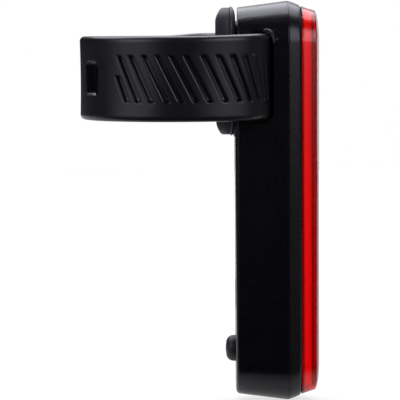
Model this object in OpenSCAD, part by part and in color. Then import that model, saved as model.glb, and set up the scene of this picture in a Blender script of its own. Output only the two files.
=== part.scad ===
// Bicycle rear light held on a seat post by a rubber strap.
// The post runs along Z through the origin, Z = 0 is the strap's mid height and the lens faces +X.

/* [Post and pad] */
// Diameter of the seat post that the pad and the strap's crown fit
post_d = 31.6; // [30:0.1:33]
// Rubber behind the middle of the saddle
pad_t = 1.75; // [1.6:0.05:3]
// How far the saddle's horns reach round the post
pad_cup = 1.6; // [1:0.1:2]
// Height of the pad
pad_h = 30.2; // [28:0.1:33]
// Width of the pad
pad_w = 15.6; // [15:0.1:17]
// Corner radius of the pad, seen from the post
pad_corner = 5; // [3:0.5:6]
// How far the pad's middle sits above the strap's
pad_rise = 1.4; // [0.5:0.1:2]
// Thickness of the plate that carries the pad
plate_t = 1.4; // [1.3:0.05:1.8]
// How far the plate stands past the pad's edge
plate_past = 0.28; // [0:0.02:0.6]
// Height of the neck between the plate and the case
neck_t = 0.45; // [0.3:0.05:0.8]
// How far the neck stands in from the plate's edge
neck_inset = 2; // [1.4:0.1:2.4]
// How far the neck's middle sits below the pad's
neck_drop = 1.45; // [0:0.05:1.6]

/* [Case] */
// Height of the case at the parting line
body_h = 96.5; // [93:0.1:100]
// Width of the case at the parting line
body_w = 20; // [19.4:0.1:22]
// How far the top of the case is above the strap's mid height
body_rise = 18.1; // [17.5:0.1:20]
// Depth of the rear shell, from its back to the parting line
rear_depth = 12.6; // [12:0.1:14]
// Wall thickness of the case
wall = 1.55; // [1.2:0.05:1.8]
// Thickness of the back wall
back_wall = 2.15; // [1.9:0.05:2.6]
// How far the pad's seat is sunk in the back
pad_recess = 0.65; // [0.3:0.05:0.8]
// Rounding of the back edge
back_round = 1.1; // [0.6:0.1:1.6]
// Depth of the front bezel
bezel_depth = 3.6; // [3.2:0.1:4.4]

/* [Lens and reflector] */
// How far the lens stands out of the bezel
lens_depth = 3.8; // [3.4:0.1:4.6]
// Thickness of the front of the lens
lens_wall = 2.3; // [1.8:0.1:2.6]
// Height of the lens's side, up to its crowned front
lens_side = 2.65; // [2:0.05:3.2]
// How far the lens's side leans in
lens_lean = 1; // [0.4:0.1:1.6]
// Step from the bezel's front edge in to the lens
lens_step = 0.12; // [0.06:0.02:0.4]
// Number of LEDs in the row
led_count = 8; // [4:2:8]
// Spacing of the LEDs
led_pitch = 9; // [8.6:0.1:9.4]
// Width of one LED
led_w = 3; // [2:0.1:3.4]
// Mouth radius of a reflector cup
cup_r = 4; // [3:0.1:4.2]

/* [Strap] */
// Thickness of the strap
strap_t = 2.5; // [2:0.1:3]
// Height of the strap
strap_h = 19.8; // [18:0.1:21]
// How far each side of the crown is round with the post, in degrees
crown_a = 50; // [40:1:60]
// Distance from the post's middle to the loop's widest place
wide_x = 6; // [4:0.1:8]
// Distance from the back of the case to the strap's outer face in its pocket
anchor_x = 8.8; // [8.4:0.1:9]
// Depth of the strap's bend inside the side of the case
anchor_in = 4.4; // [4:0.1:4.6]
// Extra height of the tail above and below
tail_flare = 0.6; // [0:0.1:1]
// Length of a strap slot along the strap
slot_l = 5.6; // [5.2:0.1:6.4]
// Height of a strap slot
slot_h = 7.8; // [7:0.1:9]
// Number of grip grooves on a side
groove_count = 13; // [6:1:13]
// Spacing of the grip grooves
groove_pitch = 3.35; // [3:0.05:3.6]
// Width of a grip groove
groove_w = 1.15; // [0.8:0.05:1.5]
// Depth of a grip groove
groove_d = 0.6; // [0.3:0.05:0.9]
// Height of the grooved zone
groove_h = 11.2; // [8:0.1:13]
// Slant of the grip grooves, in degrees
groove_a = 27; // [15:1:32]

/* [Button and port] */
// Diameter of the rubber button
button_d = 6.3; // [5.6:0.1:7]
// How far the button stands out of the back
button_out = 2.5; // [1.6:0.1:2.8]
// Distance from the bottom of the case up to the button
button_up = 12.6; // [12:0.1:12.8]
// Travel of the button
button_travel = 0.5; // [0.3:0.05:0.6]
// Distance from the bottom of the case up to the charging port
port_up = 26; // [25.2:0.1:26.4]
// Width of the port's cover
cover_w = 12; // [11.4:0.1:12.6]
// Height of the port's cover
cover_h = 7; // [6.6:0.1:7.4]

/* [Inside] */
// Thickness of the circuit board
board_t = 1; // [0.8:0.1:1.6]
// Width of the battery
cell_w = 12; // [10:0.1:12.6]
// Diameter of the pin in the strap's end
pin_d = 2; // [1.6:0.1:2.4]
// Shank diameter of the case and pad screws
screw_d = 1.9; // [1.6:0.1:2.1]
// Head diameter of the case and pad screws
head_d = 3.6; // [3.2:0.1:4]
// Height of the screw heads
head_t = 1.2; // [1:0.1:1.4]

/* [Hidden] */
$fn = 64;

// clearances and small fits
fit = 0.05;
gap = 0.1;
clear = 0.2;
loose = 0.3;
over = 1;
share = 0.6;

// stations along X, from the post forwards
post_r = post_d / 2;
x_plate = post_r + pad_t;
x_neck = x_plate + plate_t;
x_seat = x_neck + neck_t;
x_back = x_seat - pad_recess;
x_inner = x_back + back_wall;
x_part = x_back + rear_depth;
x_front = x_part + bezel_depth;
x_lens = x_front + clear;
x_nose = x_lens + lens_depth;
board_set = 0.95;
x_face = x_part - board_set;
x_board = x_face - board_t;

// stations along Z
body_r = body_w / 2;
z_top = body_rise;
z_bot = body_rise - body_h;
z_hi = z_top - body_r;
z_lo = z_bot + body_r;
z_button = z_bot + button_up;
z_port = z_bot + port_up;
pad_foot = pad_rise - pad_h / 2 - plate_past;

// outline of the case: how it falls away from the parting line, to the back and to the front
rear_slope = 0.127;
bezel_slope = 0.26;
bezel_curve = 0.02;
edge = 0.12;
bezel_edge = 0.45;
steps = 10;
function rear_r(x) = body_r - rear_slope * (x_part - x);
function bezel_r(x) = body_r - bezel_slope * (x - x_part) - bezel_curve * pow(x - x_part, 2);
lens_root = bezel_r(x_front) - lens_step;
lens_brow = lens_root - lens_lean;
lens_crown = lens_depth - lens_side;

// lens, seals and the frame inside the bezel
spigot_step = 1.2;
spigot_r = lens_root - spigot_step;
spigot_wall = 1.05;
lens_bore = spigot_r - spigot_wall;
bezel_bore = spigot_r + gap;
seal_t = 0.6;
web_t = 1.55;
x_web = x_part + web_t;
x_spigot = x_web + seal_t;
window_rim = 0.35;
window_r = lens_bore + window_rim;
case_seal_w = 0.5;
case_seal_r = body_r - wall / 2 + case_seal_w / 2 - gap;

// screws that close the case
boss_r = 2;
boss_l = 7.3;
case_inset = 5.1;
z_case = [z_top - case_inset, z_bot + case_inset];
boss_room = 1.3;
z_window = [z_case[0] - boss_r - boss_room - window_r, z_case[1] + boss_r + boss_room + window_r];

// board and reflector
board_room = 0.45;
board_r = body_r - wall - board_room;
z_board = [z_case[0] - boss_r - boss_room - board_r, z_case[1] + boss_r + boss_room + board_r];
reflector_r = lens_bore - clear;
mirror_set = 0.15;
x_mirror = x_front - mirror_set;
led_t = 0.8;
led_dome = 1.1;
led_rim = 0.6;
cup_base = led_w / 2 + led_rim;
board_post_r = 2.1;
board_screw_top = 29.6;
board_screw_drop = 4.1;
z_board_low = z_port - board_screw_drop;
led_gaps = round((z_top - board_screw_top - z_board_low) / led_pitch);
z_board_screw = [z_board_low + led_gaps * led_pitch, z_board_low];
led_spare = 3;
led_n = min(led_count, led_gaps + led_spare);
function led_z(i) = z_board_low + led_pitch * (i - 0.5);
board_screw_d = 1.5;
board_head_d = 3;
board_head_t = 0.8;
board_screw_l = 5;

// strap: crown, flank, turn and entry are tangent arcs, solved so that the bend ends in its pocket
crown_r = post_r + strap_t;
bow = 90 - crown_a;
flank_k = wide_x / sin(bow);
flank_r = crown_r + flank_k;
flank_c = [flank_k * sin(bow), flank_k * cos(bow)];
wide_y = flank_r - flank_c[1];
turn_a = 30;
entry_a = 88;
x_entry = x_back + anchor_x;
y_entry = body_r - anchor_in;
run_x = x_entry - wide_x;
run_y = wide_y - y_entry;
a1 = sin(turn_a);
b1 = sin(entry_a) - sin(turn_a);
a2 = 1 - cos(turn_a);
b2 = cos(turn_a) - cos(entry_a);
det = a1 * b2 - b1 * a2;
turn_r = (run_x * b2 - b1 * run_y) / det;
entry_r = (a1 * run_y - a2 * run_x) / det;
turn_c = [wide_x, turn_r - wide_y];
entry_c = [
  turn_c[0] + (turn_r - entry_r) * sin(turn_a),
  turn_c[1] - (turn_r - entry_r) * cos(turn_a)
];
strap_edge = strap_t / 2 - gap;
// every other stretch of the strap runs a little way into its neighbours, just under their skin
lap = 0.01;
lap_a = 0.8;
lap_l = 0.15;
bead_r = 2;
bead_in = 1.2;
pin_x = entry_c[0] + (entry_r - strap_t / 2) * sin(entry_a) + bead_in * cos(entry_a);
pin_y = entry_c[1] - (entry_r - strap_t / 2) * cos(entry_a) + bead_in * sin(entry_a);
pin_past = 2.1;
pin_l = strap_h + 2 * pin_past;
pin_r = pin_d / 2;

// strap tail: bends in, bends back and runs along the far side over the hook
dive_a = 45;
dive_r = 13;
back_r = 6;
y_run = body_r + loose + strap_t;
dive_c = [wide_x, wide_y - dive_r];
dive_l = (wide_y - y_run - (dive_r + back_r) * (1 - cos(dive_a))) / sin(dive_a);
x_dive = wide_x + dive_r * sin(dive_a);
y_dive = wide_y - dive_r * (1 - cos(dive_a));
x_run = x_dive + dive_l * cos(dive_a) + back_r * sin(dive_a);
hook_t = 2.2;
hook_play = 1;
hook_h = slot_h - hook_play;
hook_lip = 0.7;
hook_lip_t = 0.9;
hook_rise = 0.4;
hook_set = 7.6;
x_hook = x_part - hook_set;
slot_lead = 0.5;
x_slot = x_hook - slot_lead + slot_l / 2;
slot_end = 1.4;
x_tab = x_slot + slot_l / 2 + slot_end;
tab_r = 8;
tab_a = 20;
tab_l = 1.2;
slot_round = 1;
slot_a = 34;

// grooves: evenly spaced along the flank and the turn, closer where the strap turns in
groove_from = -15.85;
groove_close = 2.54;
groove_wide_n = 9;
function groove_s(i) = groove_from + groove_pitch * min(i, groove_wide_n)
  + groove_close * max(0, i - groove_wide_n);
turn_s = turn_r * turn_a * PI / 180;
function deg(s, r) = s / r * 180 / PI;

// strap pocket in the near side
mouth_r = 2.95;
mouth_past = 0.15;
mouth_x = x_entry + mouth_past - mouth_r;
mouth_over = 0.9;
mouth_h = strap_h / 2 + mouth_over;
mouth_sink = 3;
mouth_floor = body_r - mouth_sink;
mouth_round = 0.6;
block_wall = 1;
block_past = 2;
y_block = pin_y + bead_r + clear + block_wall;

// screws of the pad's plate, and the seat of a case screw's head, which is sunk with the pad's seat
pad_screw_in = 4;
pad_screw_low = 8;
pad_screw_high = 5;
z_pad_screw = [pad_rise - pad_screw_low, pad_rise + pad_screw_high];
function head_x(z) = z > pad_foot ? x_seat : x_back;

// button, switch, port and cover
flange_t = 0.7;
flange_over = 1.1;
boot_round = 1.8;
plunger_d = 3;
plunger_set = 1.9;
switch_w = 4.6;
switch_t = 2;
stem_d = 1.9;
stem_out = 0.8;
stem_in = 0.6;
x_stem_room = x_board - switch_t + stem_in + button_travel + gap;
cover_t = 0.95;
cover_floor = 1.2;
plug_t = 1;
usb_w = 8.94;
usb_h = 3.26;
usb_wall = 0.3;
usb_room = 0.45;
usb_foot = 1.2;
plug_room = 0.45;
tongue_w = 6.7;
tongue_t = 0.7;

// cell and its wiring
tape_t = 0.3;
cell_room = 1.2;
z_cell = [
  min(z_board_screw[0] - board_post_r, -mouth_h - block_past) - cell_room,
  z_port + usb_h / 2 + cell_room
];
plug_y = 3.6;
socket_z = -4;
socket_s = [3, 4.2, 3];
plug_s = [2.2, 3.6, 2.4];
lead_r = 0.45;
lead_pitch = 1.5;
chip_s = [1.2, 4, 4];
chip_z = 2.2;
coil_r = 1.9;
coil_t = 2.2;
coil_z = 6.6;

// a half outline [radius, height], turned round both ends and drawn straight past the middle from each
module pill(outline, lo, hi) {
  rotate([90, 0, 90])
    for (end = [0, 1])
      translate([0, end == 1 ? hi : lo, 0]) rotate([0, 0, end == 1 ? 0 : 180]) {
        rotate_extrude(angle = 180) polygon(outline);
        for (side = [0, 1])
          mirror([side, 0, 0]) rotate([90, 0, 0]) linear_extrude((hi - lo) * share) polygon(outline);
      }
}

module slab(r, x0, x1, lo, hi) {
  pill([[0, x0], [r, x0], [r, x1], [0, x1]], lo, hi);
}

module rod(r, x0, x1, y, z) {
  translate([x0, y, z]) rotate([0, 90, 0]) cylinder(h = x1 - x0, r = r);
}

module block(x0, x1, y0, y1, z0, z1) {
  translate([x0, y0, z0]) cube([x1 - x0, y1 - y0, z1 - z0]);
}

// rounded rectangle across X, made of round corners and two slabs
module round_slab(w, h, r, x0, x1, z) {
  for (y = [-1, 1], s = [-1, 1]) rod(r, x0, x1, y * (w / 2 - r), z + s * (h / 2 - r));
  block(x0, x1, -w / 2 + r, w / 2 - r, z - h / 2, z + h / 2);
  block(x0, x1, -w / 2, w / 2, z - h / 2 + r, z + h / 2 - r);
}

// slot with round ends across X, long in Y
module flat_slot(w, h, x0, x1, z) {
  for (s = [-1, 1]) rod(h / 2, x0, x1, s * (w - h) / 2, z);
  block(x0, x1, -(w - h) / 2, (w - h) / 2, z - h / 2, z + h / 2);
}

module screw(x, z, l, d, hd, ht, y = 0) {
  difference() {
    union() {
      rod(hd / 2, x, x + ht, y, z);
      rod(d / 2, x + ht, x + l, y, z);
    }
    for (turn = [0, 90])
      translate([x, y, z]) rotate([turn, 0, 0]) cube([ht, hd / 6, hd * 0.6], center = true);
  }
}

// outlines of the case, half sections from the axis out
rear_out = concat(
  [[0, x_back]],
  [for (i = [0:6]) let (a = 90 - 15 * i, r = rear_r(x_back + back_round))
    [r - back_round * (1 - cos(a)), x_back + back_round * (1 - sin(a))]],
  [[rear_r(x_part - edge), x_part - edge], [body_r - edge, x_part], [0, x_part]]
);
rear_in = [
  [0, x_inner], [rear_r(x_inner) - wall, x_inner], [body_r - wall, x_part],
  [body_r - wall, x_part + over], [0, x_part + over]
];
bezel_out = concat(
  [[0, x_part], [body_r - edge, x_part]],
  [for (i = [0:steps]) let (x = x_part + edge + (bezel_depth - edge - bezel_edge) * i / steps)
    [bezel_r(x), x]],
  [[bezel_r(x_front) - bezel_edge, x_front], [0, x_front]]
);
lens_out = concat(
  [[0, x_lens], [lens_root - edge, x_lens], [lens_root, x_lens + edge]],
  [for (i = [0:steps]) let (a = 90 * i / steps)
    [lens_brow * cos(a), x_lens + lens_side + lens_crown * sin(a)]]
);
x_lens_in = x_nose - lens_wall;
lens_in = [
  [0, x_spigot - over], [lens_bore, x_spigot - over], [lens_bore, x_lens],
  [lens_bore - lens_lean * (x_lens_in - x_lens) / lens_side, x_lens_in], [0, x_lens_in]
];

module mouth() {
  d = body_r - edge - mouth_floor;
  z = mouth_h - mouth_r;
  cut = concat(
    [[0, 0], [mouth_r, 0], [mouth_r, d - mouth_round]],
    [for (i = [1:4]) let (a = 22.5 * i)
      [mouth_r + mouth_round * (1 - cos(a)), d - mouth_round * (1 - sin(a))]],
    [[mouth_r + mouth_round, d + over], [0, d + over]]
  );
  translate([mouth_x, -mouth_floor, 0]) rotate([0, 0, -90]) pill(cut, -z, z);
}

module rear_shell() {
  color("#16181a")
    difference() {
      union() {
        difference() {
          pill(rear_out, z_lo, z_hi);
          pill(rear_in, z_lo, z_hi);
        }
        intersection() {
          pill(rear_out, z_lo, z_hi);
          union() {
            block(
              mouth_x - mouth_r - block_wall, x_board, -mouth_floor - over, y_block,
              -mouth_h - block_past, mouth_h + block_past
            );
            for (z = z_pad_screw) rod(board_post_r, x_inner - over, x_inner + pad_screw_in, 0, z);
            for (z = z_board_screw) rod(board_post_r, x_inner - over, x_board, 0, z);
            for (z = z_case) rod(boss_r + clear, x_inner - over, x_part - boss_l - gap, 0, z);
          }
        }
        block(
          x_hook, x_hook + hook_t, body_r - wall, y_run + hook_rise + hook_lip_t,
          -hook_h / 2, hook_h / 2
        );
        block(
          x_hook, x_hook + hook_t + hook_lip, y_run + hook_rise, y_run + hook_rise + hook_lip_t,
          -hook_h / 2, hook_h / 2
        );
      }
      block(x_back - over, x_seat, -body_r, body_r, pad_foot - loose, z_top + over);
      mouth();
      translate([pin_x, pin_y, -strap_h / 2 - loose])
        cylinder(h = strap_h + 2 * loose, r = bead_r + clear);
      block(
        pin_x - strap_t / 2 - loose, pin_x + strap_t / 2 + loose, -mouth_floor - over, pin_y,
        -strap_h / 2 - loose, strap_h / 2 + loose
      );
      translate([pin_x, pin_y, -pin_l / 2]) cylinder(h = pin_l + over, r = pin_r + fit);
      for (z = z_case) {
        x = head_x(z);
        rod(head_d / 2 + clear, x - over - pad_recess, x + head_t, 0, z);
        rod(screw_d / 2 + clear, x, x_part, 0, z);
        rod(boss_r + clear, x_part - boss_l - gap, x_part + over, 0, z);
      }
      for (z = z_pad_screw) rod(screw_d / 2 + fit, x_seat - over, x_inner + pad_screw_in + over, 0, z);
      for (z = z_board_screw)
        rod(board_screw_d / 2 + fit, x_board - board_screw_l, x_board + over, 0, z);
      rod(button_d / 2 + clear, x_back - over, x_inner + over, 0, z_button);
      flat_slot(cover_w + 2 * clear, cover_h + 2 * clear, x_back - over, x_back + cover_floor, z_port);
      flat_slot(usb_w + usb_room, usb_h + 2 * plug_room, x_back, x_inner + over, z_port);
      difference() {
        groove = case_seal_w;
        slab(case_seal_r, x_part - groove, x_part + over, z_lo, z_hi);
        slab(case_seal_r - case_seal_w, x_part - groove - over, x_part + 2 * over, z_lo, z_hi);
      }
    }
}

module front_bezel() {
  color("#22262b")
    difference() {
      union() {
        difference() {
          pill(bezel_out, z_lo, z_hi);
          slab(bezel_bore, x_web, x_front + over, z_lo, z_hi);
          slab(window_r, x_part - over, x_web + over, z_window[1], z_window[0]);
        }
        for (z = z_case) rod(boss_r, x_part - boss_l, x_web, 0, z);
      }
      for (z = z_case) rod(screw_d / 2 + fit, x_part - boss_l - over, x_part + fit, 0, z);
    }
}

module lens() {
  color("#d0101a")
    difference() {
      union() {
        pill(lens_out, z_lo, z_hi);
        slab(spigot_r, x_spigot, x_lens, z_lo, z_hi);
      }
      pill(lens_in, z_lo, z_hi);
    }
}

module lens_seal() {
  color("#2b2b2b")
    difference() {
      slab(spigot_r, x_web, x_spigot, z_lo, z_hi);
      slab(lens_bore + gap, x_web - over, x_spigot + over, z_lo, z_hi);
    }
}

module case_seal() {
  color("#3a3a3a")
    difference() {
      slab(case_seal_r - fit, x_part - case_seal_w, x_part, z_lo, z_hi);
      slab(case_seal_r - case_seal_w + fit, x_part - case_seal_w - over, x_part + over, z_lo, z_hi);
    }
}

module reflector() {
  color("#e8e8e6")
    difference() {
      slab(reflector_r, x_face, x_mirror, z_window[1], z_window[0]);
      for (i = [0:led_n - 1]) {
        rod(cup_base, x_face - over, x_face + led_t, 0, led_z(i));
        translate([x_face + led_t, 0, led_z(i)]) rotate([0, 90, 0])
          cylinder(h = x_mirror - x_face - led_t, r1 = cup_base, r2 = cup_r);
        rod(cup_r, x_mirror, x_mirror + over, 0, led_z(i));
      }
      for (z = z_board_screw)
        rod(board_head_d / 2 + clear, x_face - over, x_face + board_head_t + clear, 0, z);
    }
}

module led_board() {
  color("#1d5c36")
    difference() {
      slab(board_r, x_board, x_face, z_board[1], z_board[0]);
      for (z = z_board_screw) rod(board_screw_d / 2 + clear, x_board - over, x_face + over, 0, z);
    }
}

module leds() {
  color("#f4d9b0")
    for (i = [0:led_n - 1]) {
      translate([x_face, -led_w / 2, led_z(i) - led_w / 2]) cube([led_t / 2, led_w, led_w]);
      rod(led_dome, x_face + led_t / 2, x_face + led_t, 0, led_z(i));
    }
}

module driver_chip() {
  color("#202020")
    translate([x_board - chip_s[0], plug_y - chip_s[1] / 2, chip_z - chip_s[2] / 2]) cube(chip_s);
}

module led_coil() {
  color("#585450") rod(coil_r, x_board - coil_t, x_board, plug_y, coil_z);
}

module board_screws() {
  color("silver")
    for (z = z_board_screw)
      mirror([1, 0, 0])
        screw(
          -x_face - board_head_t, z, board_head_t + board_t + board_screw_l - gap,
          board_screw_d, board_head_d, board_head_t
        );
}

module case_screws() {
  color("silver")
    for (z = z_case) screw(head_x(z), z, x_part - head_x(z) - gap, screw_d, head_d, head_t);
}

module battery() {
  color("#b9bec6")
    block(x_inner + tape_t, x_board - cell_room, -cell_w / 2, cell_w / 2, z_cell[1], z_cell[0]);
}

module battery_tape() {
  color("#7d5a3a")
    block(x_inner, x_inner + tape_t, -cell_w / 4, cell_w / 4, z_cell[1] + cell_w / 4, z_cell[0] - cell_w / 4);
}

lead_x = x_board - cell_room - lead_r - gap;
plug_z = socket_z - socket_s[2] / 2 - plug_s[2];

module battery_leads() {
  color("#c02020")
    for (s = [-1, 1])
      translate([lead_x, plug_y + s * lead_pitch / 2, z_cell[0]])
        cylinder(h = plug_z - z_cell[0], r = lead_r);
}

module battery_plug() {
  color("#f0ece0")
    translate([lead_x - plug_s[0] / 2, plug_y - plug_s[1] / 2, plug_z]) cube(plug_s);
}

module battery_socket() {
  color("#efe8d8")
    translate([x_board - socket_s[0], plug_y - socket_s[1] / 2, socket_z - socket_s[2] / 2])
      cube(socket_s);
}

module usb_shell() {
  color("#c8ccd0")
    difference() {
      flat_slot(usb_w, usb_h, x_inner + gap, x_board, z_port);
      flat_slot(
        usb_w - 2 * usb_wall, usb_h - 2 * usb_wall, x_inner - over, x_board - usb_foot, z_port
      );
    }
}

module usb_tongue() {
  color("#1a1a1a")
    block(
      x_inner + plug_t, x_board - usb_foot, -tongue_w / 2, tongue_w / 2,
      z_port - tongue_t / 2, z_port + tongue_t / 2
    );
}

module port_cover() {
  color("#1c1d1f")
    difference() {
      union() {
        flat_slot(cover_w, cover_h, x_back, x_back + cover_t, z_port);
        flat_slot(
          usb_w - 2 * usb_wall - usb_room, usb_h - 2 * usb_wall - plug_room,
          x_back + cover_t, x_back + cover_t + plug_t, z_port
        );
      }
      flat_slot(
        cover_w / 3, cover_t, x_back - over, x_back + cover_t / 3, z_port - cover_h / 2 + cover_t * 1.2
      );
    }
}

module button_boot() {
  r = button_d / 2;
  x0 = x_back - button_out;
  shape = concat(
    [[0, x0], [r - boot_round, x0]],
    [for (i = [1:6]) let (a = 90 - 15 * i)
      [r - boot_round * (1 - cos(a)), x0 + boot_round * (1 - sin(a))]],
    [
      [r, x_inner], [r + flange_over, x_inner],
      [r + flange_over, x_inner + flange_t], [0, x_inner + flange_t]
    ]
  );
  color("#232427")
    difference() {
      translate([0, 0, z_button]) rotate([0, 90, 0]) rotate_extrude() polygon(shape);
      rod(plunger_d / 2 + fit, x0 + plunger_set, x_inner + flange_t + over, 0, z_button);
    }
}

module button_plunger() {
  color("#d8d4c8")
    rod(
      plunger_d / 2, x_back - button_out + plunger_set, x_board - switch_t - stem_out, 0, z_button
    );
}

module tact_switch() {
  color("#303236")
    difference() {
      block(
        x_board - switch_t, x_board, -switch_w / 2, switch_w / 2,
        z_button - switch_w / 2, z_button + switch_w / 2
      );
      rod(stem_d / 2 + fit, x_board - switch_t - over, x_stem_room, 0, z_button);
    }
}

module switch_stem() {
  color("#a83a2e")
    rod(stem_d / 2, x_board - switch_t - stem_out, x_board - switch_t + stem_in, 0, z_button);
}

module pad_plate() {
  w = pad_w + 2 * plate_past;
  h = pad_h + 2 * plate_past;
  r = pad_corner + plate_past;
  color("#0e0f10")
    difference() {
      union() {
        round_slab(w, h, r, x_plate, x_neck, pad_rise);
        round_slab(
          w - 2 * neck_inset, h - 2 * neck_inset, r - neck_inset, x_neck, x_seat, pad_rise - neck_drop
        );
      }
      for (z = z_pad_screw) {
        rod(head_d / 2 + clear, x_plate - over, x_plate + head_t, 0, z);
        rod(screw_d / 2 + clear, x_plate, x_seat + over, 0, z);
      }
    }
}

module pad_screws() {
  color("silver")
    for (z = z_pad_screw)
      screw(x_plate, z, x_inner + pad_screw_in - x_plate, screw_d, head_d, head_t);
}

module post_pad() {
  color("#2a2c2e")
    difference() {
      round_slab(pad_w, pad_h, pad_corner, post_r - pad_cup, x_plate, pad_rise);
      translate([0, 0, pad_rise - pad_h]) cylinder(h = 2 * pad_h, r = post_r, $fn = 128);
    }
}

// section of the strap, centred, with round edges, and drawn in by a lap
function band(h, lap) = [
  for (q = [0:3], i = [0:4])
    let (a = 90 * q + 22.5 * i, r = strap_edge - lap)
      let (sx = (q == 0 || q == 3) ? 1 : -1, sy = q < 2 ? 1 : -1)
        [sx * (strap_t / 2 - strap_edge) + r * cos(a), sy * (h / 2 - strap_edge) + r * sin(a)]
];

// a stretch of strap round a centre, its outer face at r, from one direction to another
module strap_arc(c, r, from, to, h, under = false) {
  more = under ? lap_a : 0;
  translate([c[0], c[1], 0]) rotate([0, 0, from - more])
    rotate_extrude(angle = to - from + 2 * more, $fn = 128)
      translate([r - strap_t / 2, 0]) polygon(band(h, under ? lap : 0));
}

// a straight stretch of strap from a point of its middle line
module strap_run(p, a, l, h, under = false) {
  more = under ? lap_l : 0;
  translate([p[0], p[1], 0]) rotate([90, 0, a + 90]) translate([0, 0, -more])
    linear_extrude(l + 2 * more) polygon(band(h, under ? lap : 0));
}

// cut square to the strap's face at a point, for slots
module strap_slot(p, a, w, h) {
  translate([p[0], p[1], 0]) rotate([0, 0, a])
    round_slab(w, h, slot_round, -2 * strap_t, 2 * strap_t, 0);
}

module groove(p, a, slant) {
  l = groove_h / cos(slant) - groove_w;
  translate([p[0], p[1], 0]) rotate([0, 0, a]) rotate([slant, 0, 0]) {
    block(-groove_d, over, -groove_w / 2, groove_w / 2, -l / 2, l / 2);
    for (s = [-1, 1]) rod(groove_w / 2, -groove_d, over, 0, s * l / 2);
  }
}

// where a groove lies along the near side: its point on the outer face and its outward direction
function face_point(s) =
  s < 0 ? face_at(flank_c, flank_r, deg(s, flank_r))
  : s < turn_s ? face_at(turn_c, turn_r, deg(s, turn_r))
  : face_at(entry_c, entry_r, turn_a + deg(s - turn_s, entry_r));
function face_at(c, r, a) = [[c[0] + r * sin(a), c[1] - r * cos(a)], a - 90];

module strap_band() {
  color("#26282a")
    difference() {
      union() {
        strap_arc([0, 0], crown_r, 180, 180 + crown_a, strap_h);
        strap_arc(flank_c, flank_r, 180 + crown_a, 270, strap_h, true);
        strap_arc(turn_c, turn_r, 270, 270 + turn_a, strap_h);
        strap_arc(entry_c, entry_r, 270 + turn_a, 270 + entry_a, strap_h, true);
        strap_run(
          [pin_x - bead_in * cos(entry_a), pin_y - bead_in * sin(entry_a)], entry_a, bead_in, strap_h
        );
        translate([pin_x, pin_y, -strap_h / 2]) cylinder(h = strap_h, r = bead_r);
      }
      translate([pin_x, pin_y, -strap_h]) cylinder(h = 2 * strap_h, r = pin_r + fit);
      strap_slot([-crown_r * cos(slot_a), -crown_r * sin(slot_a)], 180 + slot_a, slot_l, slot_h);
      for (i = [0:groove_count - 1]) {
        at = face_point(groove_s(i));
        groove(at[0], at[1], groove_a);
      }
    }
}

module strap_tail() {
  h = strap_h + 2 * tail_flare;
  mid = strap_t / 2;
  color("#26282a")
    difference() {
      union() {
        strap_arc([0, 0], crown_r, 180 - crown_a, 180, strap_h);
        strap_arc([flank_c[0], -flank_c[1]], flank_r, 90, 180 - crown_a, strap_h, true);
        strap_arc(dive_c, dive_r, 90 - dive_a, 90, h);
        strap_run(
          [x_dive - mid * sin(dive_a), y_dive - mid * cos(dive_a)], -dive_a, dive_l, h, true
        );
        strap_arc([x_run, y_run + back_r], back_r + strap_t, 270 - dive_a, 270, h);
        strap_run([x_run, y_run - mid], 0, x_tab - x_run, h, true);
        strap_arc([x_tab, y_run + tab_r], tab_r + strap_t, 270, 270 + tab_a, h);
        strap_run(
          [x_tab + (tab_r + mid) * sin(tab_a), y_run + tab_r - (tab_r + mid) * cos(tab_a)],
          tab_a, tab_l, h, true
        );
      }
      strap_slot([x_slot, y_run], 90, slot_l, slot_h);
      for (i = [0:groove_count - 1])
        if (groove_s(i) < 0) {
          at = face_point(groove_s(i));
          groove([at[0][0], -at[0][1]], -at[1], -groove_a);
        }
    }
}

module strap_pin() {
  color("silver") translate([pin_x, pin_y, -pin_l / 2]) cylinder(h = pin_l, r = pin_r);
}

rear_shell();
front_bezel();
lens();
lens_seal();
case_seal();
reflector();
led_board();
leds();
driver_chip();
led_coil();
board_screws();
case_screws();
battery();
battery_tape();
battery_leads();
battery_plug();
battery_socket();
usb_shell();
usb_tongue();
port_cover();
button_boot();
button_plunger();
tact_switch();
switch_stem();
pad_plate();
pad_screws();
post_pad();
strap_band();
strap_tail();
strap_pin();
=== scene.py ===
"""Looks of a strap-on bicycle rear light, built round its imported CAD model."""

import math

import bmesh
import bpy
from mathutils import Matrix, Vector


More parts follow.
